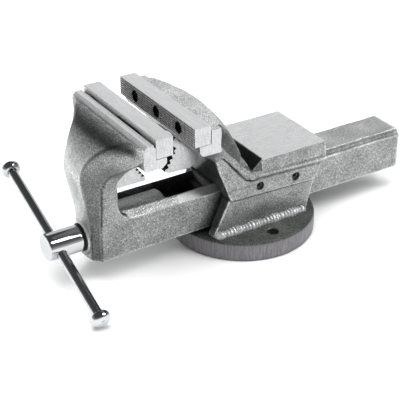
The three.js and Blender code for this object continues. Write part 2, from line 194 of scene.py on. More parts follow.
def place(o, body, nodes, mats):
    k = np.empty(len(o.data.polygons), np.int32); o.data.polygons.foreach_get("material_index", k)
    o.data.materials.clear()
    for mt in mats: o.data.materials.append(mt)
    o.data.polygons.foreach_set("material_index", np.minimum(k, len(mats) - 1)); o.data.update()
    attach(o, body)
    if nodes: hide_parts(*nodes)
    return o

# ------------------------------------------------------------------ distance fields
def smin(a, b, k):
    h = np.maximum(k - np.abs(a - b), 0) / k
    return np.minimum(a, b) - h * h * (k * 0.25)

def smax(a, b, k):
    return -smin(-a, -b, k)

def poly2d(P, Y, Z):
    """Signed distance in a plane to a closed polygon, negative inside."""
    d = np.full(np.broadcast(Y, Z).shape, 1e9); s = np.ones_like(d)
    n = len(P)
    for i in range(n):
        ax, ay = P[i]; bx, by = P[i - 1]
        ex, ey = bx - ax, by - ay
        wx, wy = Y - ax, Z - ay
        t = np.clip((wx * ex + wy * ey) / (ex * ex + ey * ey), 0, 1)
        d = np.minimum(d, (wx - ex * t) ** 2 + (wy - ey * t) ** 2)
        c1, c2, c3 = Z >= ay, Z < by, ex * wy > ey * wx
        flip = (c1 & c2 & c3) | (~c1 & ~c2 & ~c3)
        s = np.where(flip, -s, s)
    return (s * np.sqrt(d)).astype(np.float32)

def nets(F, xs, ys, zs):
    """Closed quad mesh of the zero level of F on a rectilinear grid."""
    s = F < 0
    nx, ny, nz = F.shape
    allin = np.ones((nx - 1, ny - 1, nz - 1), bool); anyin = np.zeros_like(allin)
    for i in (0, 1):
        for j in (0, 1):
            for k in (0, 1):
                c = s[i:nx - 1 + i, j:ny - 1 + j, k:nz - 1 + k]
                allin &= c; anyin |= c
    act = anyin & ~allin
    cells = np.argwhere(act).astype(np.int32)
    idx = np.full(act.shape, -1, np.int32); idx[act] = np.arange(len(cells), dtype=np.int32)
    acc = np.zeros((len(cells), 3)); cnt = np.zeros(len(cells))
    ax = (xs, ys, zs)
    for d in range(3):
        for p in (0, 1):
            for q in (0, 1):
                o0 = [0, 0, 0]; o0[(d + 1) % 3] = p; o0[(d + 2) % 3] = q
                o1 = list(o0); o1[d] = 1
                A = cells + np.array(o0, np.int32); B = cells + np.array(o1, np.int32)
                fa = F[A[:, 0], A[:, 1], A[:, 2]]; fb = F[B[:, 0], B[:, 1], B[:, 2]]
                mk = (fa < 0) != (fb < 0)
                t = fa[mk] / (fa[mk] - fb[mk])
                for c in range(3):
                    pa = ax[c][A[mk, c]]; pb = ax[c][B[mk, c]]
                    acc[mk, c] += pa + (pb - pa) * t
                cnt[mk] += 1
    v = acc / cnt[:, None]
    quads = []
    for d in range(3):
        e1, e2 = (d + 1) % 3, (d + 2) % 3
        sl0 = [slice(None)] * 3; sl1 = [slice(None)] * 3
        sl0[d] = slice(0, F.shape[d] - 1); sl1[d] = slice(1, F.shape[d])
        a0, a1 = s[tuple(sl0)], s[tuple(sl1)]
        ch = np.argwhere(a0 != a1).astype(np.int32)
        ok = (ch[:, e1] > 0) & (ch[:, e2] > 0) & (ch[:, e1] < F.shape[e1] - 1) & (ch[:, e2] < F.shape[e2] - 1)
        ch = ch[ok]
        inside = a0[ch[:, 0], ch[:, 1], ch[:, 2]]
        def cell(d1, d2):
            c = ch.copy(); c[:, e1] -= d1; c[:, e2] -= d2
            return idx[c[:, 0], c[:, 1], c[:, 2]]
        q = np.stack([cell(0, 0), cell(1, 0), cell(1, 1), cell(0, 1)], 1)
        q[~inside] = q[~inside][:, ::-1]
        quads.append(q)
    return v, np.concatenate(quads)

def both_sides(F):
    """Mirror a field given for x >= 0 (first sample half a step off the plane)."""
    return np.concatenate([F[::-1], F], 0)

def box_blur(F, n):
    for ax in range(3):
        c = np.cumsum(np.pad(F, [(n + 1, n) if i == ax else (0, 0) for i in range(3)], mode="edge"), axis=ax, dtype=np.float64)
        hi = [slice(None)] * 3; lo = [slice(None)] * 3
        hi[ax] = slice(2 * n + 1, None); lo[ax] = slice(0, -(2 * n + 1))
        F = ((c[tuple(hi)] - c[tuple(lo)]) / (2 * n + 1)).astype(np.float32)
    return F

def painted_cavity_light(o, F, xs, ys, zs):
    """Per-vertex value: below 0 in grooves and inside corners, above 0 on outside edges; the paint turns it into
    painted shade in the hollows and lighter outside edges, partly edge wear and partly painted highlight.
    """
    F = np.clip(F, -4, 4)
    sample_field(o, "edge", box_blur(F, 2) - F, xs, ys, zs)

def sample_field(o, name, C, xs, ys, zs):
    n = len(o.data.vertices)
    co = np.empty(3 * n, np.float32); o.data.vertices.foreach_get("co", co); co = co.reshape(-1, 3) / MM
    co[:, 0] = np.abs(co[:, 0])
    idx, fr = [], []
    for k, g in enumerate((xs, ys, zs)):
        i = np.clip(np.searchsorted(g, co[:, k]) - 1, 0, len(g) - 2)
        idx.append(i); fr.append(np.clip((co[:, k] - g[i]) / (g[i + 1] - g[i]), 0, 1))
    val = 0
    for a_ in (0, 1):
        for b_ in (0, 1):
            for c_ in (0, 1):
                wgt = (fr[0] if a_ else 1 - fr[0]) * (fr[1] if b_ else 1 - fr[1]) * (fr[2] if c_ else 1 - fr[2])
                val = val + wgt * C[idx[0] + a_, idx[1] + b_, idx[2] + c_]
    at = o.data.attributes.new(name, "FLOAT", "POINT")
    at.data.foreach_set("value", np.asarray(val, np.float32))

def table(rows, col, z):
    zz = [q[0] for q in rows]; vv = [q[col] for q in rows]
    zd = np.arange(zz[0] - 12, zz[-1] + 12, 0.5)
    vd = np.interp(zd, zz, vv)
    k = np.exp(-0.5 * (np.arange(-12, 13) * 0.5 / 2.2) ** 2); k /= k.sum()
    vs = np.convolve(np.pad(vd, 12, mode="edge"), k, mode="valid")
    return np.interp(z, zd, vs)

def wobble(X, Y, Z, amp, seed):
    """Slow unevenness of a casting's skin."""
    rs = np.random.RandomState(seed); w = 0
    for lam, g in ((26, 1.0), (14, 0.6), (8, 0.35)):
        for _ in range(3):
            k = rs.normal(size=3); k *= 2 * math.pi / lam / np.linalg.norm(k)
            w = w + g * np.sin(k[0] * X + k[1] * Y + k[2] * Z + rs.uniform(0, 6.28))
    return (w * amp / 3).astype(np.float32)

# ------------------------------------------------------------------ materials
def material(name):
    mt = bpy.data.materials.new(name); mt.use_nodes = True
    nt = mt.node_tree
    return mt, nt, nt.nodes["Principled BSDF"]

def node(nt, kind, **kw):
    n = nt.nodes.new(kind)
    for k, v in kw.items():
        if k in ("inputs",):
            for i, x in v.items(): n.inputs[i].default_value = x
        else: setattr(n, k, v)
    return n

def coords(nt, scale=(1, 1, 1)):
    tc = node(nt, "ShaderNodeTexCoord")
    mp = node(nt, "ShaderNodeMapping"); mp.inputs["Scale"].default_value = scale
    nt.links.new(tc.outputs["Object"], mp.inputs["Vector"])
    return mp.outputs["Vector"]

def noise(nt, vec, scale, detail=3, rough=0.55):
    n = node(nt, "ShaderNodeTexNoise"); n.inputs["Scale"].default_value = scale
    n.inputs["Detail"].default_value = detail; n.inputs["Roughness"].default_value = rough
    nt.links.new(vec, n.inputs["Vector"])
    return n.outputs["Fac"]

def ramp(nt, fac, stops):
    n = node(nt, "ShaderNodeValToRGB")
    el = n.color_ramp.elements
    while len(el) < len(stops): el.new(0.5)
    for e_, (p, c) in zip(el, stops):
        e_.position = p; e_.color = (c, c, c, 1) if not isinstance(c, tuple) else (*c, 1)
    nt.links.new(fac, n.inputs["Fac"])
    return n.outputs["Color"]

def bump(nt, bsdf, fac, dist, strength=1.0, prev=None):
    n = node(nt, "ShaderNodeBump"); n.inputs["Distance"].default_value = dist
    n.inputs["Strength"].default_value = strength
    nt.links.new(fac, n.inputs["Height"])
    if prev is not None: nt.links.new(prev, n.inputs["Normal"])
    nt.links.new(n.outputs["Normal"], bsdf.inputs["Normal"])
    return n.outputs["Normal"]

def mix(nt, fac, c0, c1, mode="MIX"):
    n = node(nt, "ShaderNodeMix", data_type="RGBA", blend_type=mode)
    for s, c in ((6, c0), (7, c1)):
        if isinstance(c, tuple): n.inputs[s].default_value = (*c, 1)
        else: nt.links.new(c, n.inputs[s])
    if isinstance(fac, (int, float)): n.inputs[0].default_value = fac
    else: nt.links.new(fac, n.inputs[0])
    return n.outputs[2]

def paint(name, dark, light, rough=(0.30, 0.44), bump_mm=0.2, metallic=0.72, painted_light_maps=True, grain=0.9):
    """Hammered silver-grey enamel over a cast skin: pebbled, with dark and bright flecks, and optionally painted shade
    and painted highlights read from mesh attributes.
    """
    mt, nt, b = material(name)
    v = coords(nt)
    cell = node(nt, "ShaderNodeTexVoronoi", feature="SMOOTH_F1")
    cell.inputs["Scale"].default_value = 560; cell.inputs["Smoothness"].default_value = 0.6
    nt.links.new(v, cell.inputs["Vector"])
    warp = noise(nt, v, 420, 2)
    cloud = noise(nt, v, 46, 4, 0.6)
    fleck = noise(nt, v, 1150, 3, 0.72)
    base = mix(nt, ramp(nt, cloud, [(0.34, 0.0), (0.68, 1.0)]), dark, light)
    peb = ramp(nt, cell.outputs["Distance"], [(0.0, 1.25), (0.5, 0.9), (1.0, 0.6)])
    col = mix(nt, 0.8, base, peb, "MULTIPLY")
    if painted_light_maps:
        # painted light on the moving jaw's front: lighter over the bulge, painted shade under the lip and on the
        # flank; the grain is fainter where it is lighter
        sh_ = node(nt, "ShaderNodeAttribute", attribute_name="front_painted_light")
        sm = node(nt, "ShaderNodeMapRange"); sm.inputs["From Min"].default_value = -1.0
        nt.links.new(sh_.outputs["Fac"], sm.inputs["Value"])
        col = mix(nt, 1.0, col, ramp(nt, sm.outputs["Result"], [(0.0, 0.20), (0.2, 0.50), (0.5, 1.0), (1.0, 1.7)]), "MULTIPLY")
        gf = node(nt, "ShaderNodeMapRange"); gf.inputs["To Min"].default_value = grain; gf.inputs["To Max"].default_value = grain * 0.4
        nt.links.new(sh_.outputs["Fac"], gf.inputs["Value"])
        grain = gf.outputs["Result"]
    col = mix(nt, grain, col, ramp(nt, fleck, [(0.30, 0.18), (0.44, 0.82), (0.56, 1.15), (0.70, 2.7)]), "MULTIPLY")
    if painted_light_maps:
        # painted shade in grooves and inside corners; outside edges lighter, partly edge wear and partly painted
        # highlight
        at = node(nt, "ShaderNodeAttribute", attribute_name="edge")
        mr = node(nt, "ShaderNodeMapRange"); mr.inputs["From Min"].default_value = -0.55; mr.inputs["From Max"].default_value = 0.55
        nt.links.new(at.outputs["Fac"], mr.inputs["Value"])
        col = mix(nt, 1.0, col, ramp(nt, mr.outputs["Result"], [(0.0, 0.16), (0.32, 0.55), (0.45, 1.0), (0.60, 1.0), (0.80, 1.5), (1.0, 1.8)]), "MULTIPLY")
        # painted shade as a dark line along the moving jaw's creases
        ln = node(nt, "ShaderNodeAttribute", attribute_name="line")
        col = mix(nt, 1.0, col, ramp(nt, ln.outputs["Fac"], [(0.15, 1.0), (0.75, 0.12)]), "MULTIPLY")
    nt.links.new(col, b.inputs["Base Color"])
    b.inputs["Metallic"].default_value = metallic
    rr = node(nt, "ShaderNodeMapRange"); rr.inputs["To Min"].default_value = rough[0]; rr.inputs["To Max"].default_value = rough[1]
    nt.links.new(warp, rr.inputs["Value"]); nt.links.new(rr.outputs["Result"], b.inputs["Roughness"])
    n1 = bump(nt, b, cell.outputs["Distance"], bump_mm * MM, 1.0)
    n2 = bump(nt, b, warp, bump_mm * 1.6 * MM, 0.8, n1)
    bump(nt, b, fleck, 0.09 * MM, 0.8, n2)
    return mt

def machined(name, c0, c1, stretch, rough=(0.22, 0.42), metallic=0.85, bump_mm=0.03):
    """Cut steel: fine parallel tool marks, stained in places."""
    mt, nt, b = material(name)
    v = coords(nt, stretch)
    lines = noise(nt, v, 900, 3, 0.65)
    spots = noise(nt, coords(nt), 85, 4, 0.6)
    grit = noise(nt, coords(nt), 1500, 2, 0.7)
    col = mix(nt, ramp(nt, lines, [(0.3, 0.0), (0.7, 1.0)]), c0, c1)
    col = mix(nt, 0.5, col, ramp(nt, spots, [(0.28, 0.8), (0.5, 1.0), (0.75, 1.08)]), "MULTIPLY")
    col = mix(nt, 0.7, col, ramp(nt, grit, [(0.3, 0.62), (0.5, 1.0), (0.7, 1.3)]), "MULTIPLY")
    nt.links.new(col, b.inputs["Base Color"])
    b.inputs["Metallic"].default_value = metallic
    rr = node(nt, "ShaderNodeMapRange"); rr.inputs["To Min"].default_value = rough[0]; rr.inputs["To Max"].default_value = rough[1]
    nt.links.new(spots, rr.inputs["Value"]); nt.links.new(rr.outputs["Result"], b.inputs["Roughness"])
    n1 = bump(nt, b, lines, bump_mm * MM, 0.8)
    bump(nt, b, grit, 0.03 * MM, 0.5, n1)
    return mt

def plain_metal(name, col, rough, metallic=1.0, wear=0.15, scale=140, bump_mm=0.01, lightness=1.0):
    mt, nt, b = material(name)
    v = coords(nt)
    n = noise(nt, v, scale, 4, 0.6)
    f = noise(nt, v, scale * 9, 2, 0.6)
    c = mix(nt, 1.0, col, ramp(nt, n, [(0.3, 1 - wear), (0.7, 1 + wear)]), "MULTIPLY")
    nt.links.new(c, b.inputs["Base Color"])
    b.inputs["Metallic"].default_value = metallic
    rr = node(nt, "ShaderNodeMapRange"); rr.inputs["To Min"].default_value = rough * 0.75; rr.inputs["To Max"].default_value = rough * 1.35
    nt.links.new(n, rr.inputs["Value"]); nt.links.new(rr.outputs["Result"], b.inputs["Roughness"])
    bump(nt, b, f, bump_mm * MM, 0.6)
    return mt

PAINT = paint("hammered_grey", (0.25, 0.255, 0.255), (0.36, 0.365, 0.365))
# lighter copy of the paint as painted light on the slide's tops
PAINT_LIT_TOP = paint("hammered_grey_painted_lit_top", (0.36, 0.364, 0.364), (0.50, 0.505, 0.505))
# much darker copy of the paint as painted shade on the fixed jaw's web and front
PAINT_SHADE_WEB = paint("hammered_grey_painted_shade_web", (0.085, 0.087, 0.087), (0.14, 0.142, 0.142))
# darker copy of the paint as painted shade for the moving jaw's flank
PAINT_SHADE_FLANK = paint("hammered_grey_painted_shade_flank", (0.15, 0.154, 0.154), (0.22, 0.224, 0.224))
# near-black copy of the paint as painted shade in the trough
CREVICE_SHADE = paint("hammered_grey_painted_recess_shade", (0.035, 0.036, 0.036), (0.07, 0.071, 0.071), (0.4, 0.5), 0.2, 0.3, False)
PAINT_DARK = paint("hammered_grey_shaded", (0.15, 0.155, 0.155), (0.24, 0.245, 0.245))
# lighter copy of the paint as painted light on the fixed jaw's top
CRESCENT_LIT = paint("hammered_grey_painted_lit_crescent", (0.42, 0.425, 0.425), (0.58, 0.585, 0.585), (0.3, 0.42), 0.1, 0.6, False)
BASE_TOP = paint("base_casting", (0.085, 0.092, 0.085), (0.15, 0.158, 0.147), (0.32, 0.46), 0.2, 0.5, False)
BRUSHED = machined("milled_steel", (0.60, 0.605, 0.61), (0.76, 0.765, 0.77), (1, 0.06, 1))
BRUSHED_X = machined("milled_steel_across", (0.60, 0.605, 0.61), (0.74, 0.745, 0.75), (0.06, 1, 1))
BRUSHED_Z = machined("milled_steel_ends", (0.50, 0.505, 0.51), (0.62, 0.625, 0.63), (1, 1, 0.12), (0.34, 0.52), 0.7)
RIM = machined("turned_rim", (0.15, 0.147, 0.155), (0.27, 0.262, 0.275), (1, 1, 0.08), (0.34, 0.55), 0.6, 0.08)
def knurl_steel():
    mt, nt, b = material("knurled_steel")
    n = noise(nt, coords(nt), 420, 4, 0.65)
    at = node(nt, "ShaderNodeAttribute", attribute_name="depth")
    c = ramp(nt, at.outputs["Fac"], [(0.0, 0.015), (0.2, 0.03), (0.6, 0.6)])
    c = mix(nt, 0.8, c, ramp(nt, n, [(0.3, 0.55), (0.7, 1.35)]), "MULTIPLY")
    nt.links.new(c, b.inputs["Base Color"])
    b.inputs["Metallic"].default_value = 0.7; b.inputs["Roughness"].default_value = 0.42
    bump(nt, b, n, 0.04 * MM, 0.8)
    return mt
KNURL = knurl_steel()
BLACK = plain_metal("black_oxide", (0.022, 0.022, 0.024), 0.38, 0.5, 0.3, 260, 0.02)
CHROME = plain_metal("bright_plate", (0.55, 0.56, 0.57), 0.08, 1.0, 0.03, 60, 0.0)
STEEL = plain_metal("turned_steel", (0.42, 0.42, 0.43), 0.3, 1.0, 0.15, 200, 0.02)
IRON = plain_metal("nut_iron", (0.20, 0.20, 0.21), 0.5, 0.7, 0.25, 180, 0.05)
WELD = plain_metal("weld_metal", (0.72, 0.72, 0.73), 0.4, 0.8, 0.35, 520, 0.2)
# near-black: dark steel of the teeth, deepened as painted shade between the teeth
PIPE = plain_metal("pipe_jaw_steel", (0.03, 0.031, 0.032), 0.4, 0.7, 0.35, 240, 0.05)

# ------------------------------------------------------------------ castings
def hull_field(points, X, Y, Z):
    bm = bmesh.new()
    vs = [bm.verts.new(p) for p in points]
    bmesh.ops.convex_hull(bm, input=vs)
    c = np.mean(points, axis=0); seen = []
    F = None
    for f in bm.faces:
        f.normal_update()
        n = np.array(f.normal); p = np.array(f.verts[0].co)
        if n @ (c - p) > 0: n = -n
        d = n @ p
        if any(np.allclose(n, q[0], atol=1e-3) and abs(d - q[1]) < 1e-2 for q in seen): continue
        seen.append((n, d))
        g = (n[0] * X + n[1] * Y + n[2] * Z - d).astype(np.float32)
        F = g if F is None else smax(F, g, 0.8)
    bm.free()
    return F

def grid(xs, ys, zs):
    return np.meshgrid(xs.astype(np.float32), ys.astype(np.float32), zs.astype(np.float32), indexing="ij", sparse=True)

def extr(poly, Y, Z, X, half, k=0.8):
    return smax(poly2d(poly, Y, Z) + 0 * X, np.abs(X) - half + 0 * Y + 0 * Z, k)

# ---- moving jaw
HEAD = [
    [21.7, -166, 14.8, -164.1, 21.3, -157.4, -140], [40, -165.6, 14.8, -163.8, 21.3, -157.2, -140],
    [58, -166, 14.8, -164, 21.3, -156.8, -140], [70, -168, 14.8, -166.2, 21.3, -156.2, -140],
    [82, -170.6, 15, -168.8, 21.3, -155.6, -140], [94, -173.2, 15.4, -171.3, 21.6, -154.6, -141],
    [104, -174.2, 15.8, -172, 26, -150.5, -134], [113, -172.4, 17, -169.8, 37, -146, -130],
    [121, -168.4, 20, -165.4, 50, -140.5, -127], [129, -161.6, 26, -158.4, 59, -138, -126.6],
    [136, -152, 34, -148.4, 62, -136.8, -126.6], [141, -139.6, 46, -138.8, 62.4, -136.2, -126.6]]
H = 0.9
xs = np.arange(0.5 * H, 66, H)
ys = np.concatenate([np.arange(-178, -112, H), np.arange(-111.5, 174, 1.7)])
zs = np.arange(19.6, 146, H)
X, Y, Z = grid(xs, ys, zs)
yf, cx, cy, sx, sy, yb = (table(HEAD, i, Z).astype(np.float32) for i in range(1, 7))
bulge = (yf + (cy - yf) * (X / cx) ** 2) - Y
bulge = bulge / np.sqrt(1 + (2 * (cy - yf) * X / cx ** 2) ** 2)
L = np.sqrt((sx - cx) ** 2 + (sy - cy) ** 2)
flank = (X - cx) * (sy - cy) / L - (Y - cy) * (sx - cx) / L
# painted shade along the creases of the front, sampled into the line attribute
crease_shade = np.where(Z > 21, np.sqrt(bulge ** 2 + flank ** 2), 9)
crease_shade = np.minimum(crease_shade, np.where(Z < 124, np.sqrt((X - sx) ** 2 + flank ** 2) * 1.1, 9))
crease_shade = np.exp(-(crease_shade / 0.75) ** 2).astype(np.float32)
# painted light on the moving jaw's front: lighter over the bulge, painted shade in the band under the lip and on the
# flank
front_painted_light = (np.clip((bulge - flank + 0.6) / 1.6, 0, 1) * np.clip((133 - Z) / 12, 0, 1) * np.clip((Z - 26) / 14, 0, 1)
          - np.exp(-((Z - 135.6) / 3.8) ** 2) * np.clip((-138.4 - Y) / 3, 0, 1)
          - 0.6 * np.clip((flank - bulge + 0.3) / 1.2, 0, 1) * np.clip((sx - 0.2 - X) / 1.2, 0, 1) * np.clip((132 - Z) / 34, 0, 1) * np.clip((-144 - Y) / 8, 0, 1)).astype(np.float32)
F = smax(bulge, flank, 0.3)
F = smax(F, X - sx, 0.4)
# fine parting line along both creases of the C-shaped side
F = smax(F, np.where(Z > 48, 0.62 - np.sqrt(bulge ** 2 + flank ** 2), -9), 0.2)
F = smax(F, np.where((Z > 66) & (Z < 108), 0.45 - np.sqrt((X - sx) ** 2 + flank ** 2), -9), 0.2)
F = smax(F, Y - yb, 1.6)
F = smax(F, np.maximum(Z - 141.2, 20.9 - Z), 1.0)
# groove that sets the lip off from the front
lip = poly2d([(-137.6, 140.6), (-136.2, 143.0), (-135.4, 144.6), (-124, 144.6), (-124, 130.1), (-116.4, 130.1), (-116.4, 124.6), (-120.4, 120.8), (-136.6, 120.8), (-137.4, 126)], Y, Z)
lip = smax(lip + 0 * X, X - 63.4 + 0 * Z, 0.8)
F = smin(F, lip, 2.4)
vp = [(0, -155.2, 141.4), (12, -153.6, 141.4), (26, -150.4, 141.6), (36, -147.6, 142.0), (46, -144.6, 143.0), (56, -142, 145)]
for p, p2 in zip(vp, vp[1:]):
    px, py, pz = X - p[0], Y - p[1], Z - p[2]
    dx, dy, dz = (b_ - a_ for a_, b_ in zip(p, p2))
    u_ = np.clip((px * dx + py * dy + pz * dz) / (dx * dx + dy * dy + dz * dz), 0, 1)
    F = smax(F, 4.8 - np.sqrt((px - dx * u_) ** 2 + (py - dy * u_) ** 2 + (pz - dz * u_) ** 2), 1.6)
F = smin(F, extr([(-156, 50), (-132, 50), (-132, 58.5), (-136, 61), (-139.5, 66), (-142.5, 73.5), (-144.2, 88.5), (-150, 90)][::-1], Y, Z, X, 21.3), 2.0)
boss = np.sqrt(X ** 2 + (Z - 38.5) ** 2) - (14 + np.clip((Y + 166.6) / 10, 0, 1) * 1.2)
F = smin(F, smax(boss, np.maximum(-166.6 - Y, Y + 156), 0.8), 1.6)
F = F + wobble(X, Y, Z, 0.16, 3)
bar = poly2d([(-30, 21.7), (21.3, 21.7), (21.3, 56.3), (18.6, 57.4), (17.2, 59.4), (16.5, 61.8), (-30, 61.8)], X, Z) + 0 * Y
# near upper edge: a wide bevel ahead of the machined rear stretch
front = np.clip((-38 - Y) / 3, 0, 1)
bev = poly2d([(-30, 21.7), (21.3, 21.7), (21.3, 55.4), (15.0, 61.8), (-30, 61.8)], X, Z) + 0 * Y
bar = bar * (1 - front) + bev * front
bar = smax(bar, np.maximum(-158 - Y, Y - 170.8), 1.0)
F = smin(F, bar + wobble(X, Y, Z, 0.10, 8), 1.2)
v, q = nets(both_sides(F), np.concatenate([-xs[::-1], xs]), ys, zs)
mj = make_quads("moving_jaw_casting", v, q)
print("moving jaw quads", len(q))
PH = 15.3
cut(mj, [
    box("c", -15, 15, -88, -45, 27, 80),
    box("c", -15, 15, -46, 180, 27, 55),
    box("c", -8.2, 8.2, -74, 180, 10, 28),
    prism("c", [(-15, 54), (-9, 58.6), (0, 60), (9, 58.6), (15, 54), (15, 90), (-15, 90)], "y", -144, -87),
    lathe("c", [(0, -180), (10.4, -180), (10.4, -87), (0, -87)], (0, 0, 38.5), (0, 1, 0), 64),
    prism("c", [(-143.7, 84.2), (-100, 84.2), (-100, 114.3), (-128.2, 114.3), (-132.3, 102.3), (-139.2, 99.8), (-143.7, 94.1)][::-1], "x", -PH, PH),
    box("c", -80, 80, -126.5, -100, 130.1, 160),
    box("c", -80, 80, -150, -100, 143.6, 170),
    box("c", 62.5, 80, -160, -100, 100, 170),
    box("c", -80, -62.5, -160, -100, 100, 170),
    box("c", -60, 60, 170.8, 190, 10, 80),
    box("c", -60, 60, -190, 190, 10, 21.7),
    prism("c", [(-139.8, 143.6), (-137.0, 140.8), (-133.6, 144.2), (-136.4, 147.0)], "x", -80, 80),
    prism("c", [(-128.6, 144.5), (-128.2, 141.4), (-126.4, 140.8), (-126.0, 144.5)], "x", -80, 80),
])
# gives faces their finish, and some faces their painted light and shade
def set_finish_and_painted_light(o, k, test): faces_where(o, k, test)
set_finish_and_painted_light(mj, 1, lambda c, n: (c[:, 2] > 143.3) & (n[:, 2] > 0.9))
set_finish_and_painted_light(mj, 2, lambda c, n: (n[:, 2] > 0.5) & (n[:, 1] < -0.5) & (c[:, 2] > 141.2) & (c[:, 1] > -137.4))
# painted shade in the groove behind the lip
set_finish_and_painted_light(mj, 4, lambda c, n: (c[:, 2] > 140.5) & (c[:, 2] < 143.5) & (c[:, 1] > -128.7) & (c[:, 1] < -126.6) & (np.abs(c[:, 0]) < 62.3))
set_finish_and_painted_light(mj, 2, lambda c, n: (np.abs(n[:, 0]) > 0.97) & (np.abs(c[:, 0]) > 62.2) & (c[:, 1] > -140))
set_finish_and_painted_light(mj, 2, lambda c, n: (c[:, 1] > -80) & (c[:, 1] < -36) & (c[:, 2] > 54.8) & (c[:, 2] < 62.5) & (np.abs(c[:, 0]) > 15) & (np.abs(c[:, 0]) < 22) & (n[:, 2] > 0.4))
# painted shade inside the slide's channel
set_finish_and_painted_light(mj, 4, lambda c, n: (np.abs(c[:, 0]) < 15.1) & (c[:, 1] > -88.5) & (c[:, 2] < 61) & (c[:, 2] > 26) & (c[:, 1] < 170))
# slide tops take the lighter paint: painted light
set_finish_and_painted_light(mj, 5, lambda c, n: (c[:, 1] > 20) & (n[:, 2] > 0.8) & (c[:, 2] > 60))
set_finish_and_painted_light(mj, 5, lambda c, n: (c[:, 1] > -143) & (c[:, 1] < -80) & (n[:, 2] > 0.35) & (c[:, 2] > 54) & (c[:, 2] < 62.3) & (np.abs(c[:, 0]) > 14.5))
painted_cavity_light(mj, F, xs, ys, zs)
sample_field(mj, "front_painted_light", front_painted_light + 0 * F[:crease_shade.shape[0]], xs, ys, zs)
sample_field(mj, "line", crease_shade + 0 * F[:crease_shade.shape[0]], xs, ys, zs)
smooth(mj, 28)
place(mj, "slide", ["moving_jaw"], [PAINT, BRUSHED_X, BRUSHED_Z, BRUSHED, PAINT_DARK, PAINT_LIT_TOP, PAINT_SHADE_FLANK])

# ---- fixed jaw body
NECK = [[142.4, 56, -63, -52.2], [131, 53, -51, -40.5], [120.5, 48, -44, -33.5], [110, 44, -36.5, -28],
        [100, 41, -30.5, -23], [91, 39, -25, -18.5], [82, 38.4, -19.5, -14], [72, 38.2, -14.5, -10], [66, 38, -12, -8.5]][::-1]
xs = np.arange(0.5 * H, 66, H)
ys = np.arange(-88, 70, H)
zs = np.arange(15.6, 147, H)
X, Y, Z = grid(xs, ys, zs)
w, yside, yc = (table(NECK, i, Z).astype(np.float32) for i in (1, 2, 3))
front = np.where(Z > 120, -74.2, np.where(Z > 102, -70 + (120 - Z) * 0.75, -56.5 + (102 - Z) * 0.402)).astype(np.float32)
t = X / w
arc = Y - (yside + (yc - yside) * (1 - t * t))
arc = arc / np.sqrt(1 + (2 * (yc - yside) * t / w) ** 2) * 0.86
F = smax(arc, X - w, 1.2)
F = smax(F, front - Y, 1.0)
F = smax(F, np.maximum(Z - 143.4, 64 - Z), 0.9)
neck = F
cheek = extr([(-74.2, 143.4), (-64.8, 143.4), (-64.5, 120.8), (-81.7, 120.8), (-85.3, 124.2), (-85.3, 130.1), (-74.2, 130.1)][::-1], Y, Z, X, 63.4)
# hanging web from the crescent's end down to the rim, and the rounded band ahead of it
sh = hull_field([(s * a_, b_, c_) for s in (-1, 1) for a_, b_, c_ in ((60.5, -81.7, 121), (61, -64.8, 121), (37.6, -57, 99), (37.6, -49, 99), (30, -76, 112))], X, Y, Z)
sides = extr([(-57.4, 102.1), (-37.1, 51.5), (55.2, 48.5), (61.6, 62.1), (66.4, 66), (66.4, 69.5), (-18, 73.2), (-38, 102.1)][::-1], Y, Z, X, 38.0, 0.4)
rim = hull_field([(s * a_, b_, c_) for s in (-1, 1) for a_, b_, c_ in ((39.6, -18, 73.4), (38.6, 66.4, 69.6), (37.3, -3.3, 85.4), (37.3, 65.6, 85.4), (39.4, -17, 68), (38.4, 66, 66.5))], X, Y, Z)
low = hull_field([(s * a_, b_, c_) for s in (-1, 1) for a_, b_, c_ in ((34, -53.5, 17.2), (34, 50, 17.2), (36, -38.5, 52), (36, 56.5, 52))], X, Y, Z)
body = smin(smin(sides, rim, 0.9), low, 0.9)
# bead that runs along the top of each side plate and up the edge of the neck
def seg(ax, ay, az, bx, by, bz, rad):
    px, py, pz = X - ax, Y - ay, Z - az
    dx, dy, dz = bx - ax, by - ay, bz - az
    u_ = np.clip((px * dx + py * dy + pz * dz) / (dx * dx + dy * dy + dz * dz), 0, 1)
    return np.sqrt((px - dx * u_) ** 2 + (py - dy * u_) ** 2 + (pz - dz * u_) ** 2) - rad
pts = [(36.8, 65.6, 67.9), (37.0, 25, 69.6), (37.0, -6, 71.2), (36.9, -17, 72.6), (36.6, -25.5, 78.5), (36.8, -34, 88.5), (37.3, -42, 98.5), (40, -50, 106), (47, -58, 114)]
bead = None
for p, p2 in zip(pts, pts[1:]):
    s_ = seg(*p, *p2, 2.7)
    bead = s_ if bead is None else np.minimum(bead, s_)
trough = extr([(-24, 66.2), (-3.3, 66.2), (-3.3, 95), (-40, 95)], Y, Z, X, 34.2)
body = smin(body, bead, 0.8)
body = smax(body, -trough, 2.4)
F = smin(body, neck, 2.2)
F = smin(F, cheek, 2.2)
F = smin(F, sh, 4)
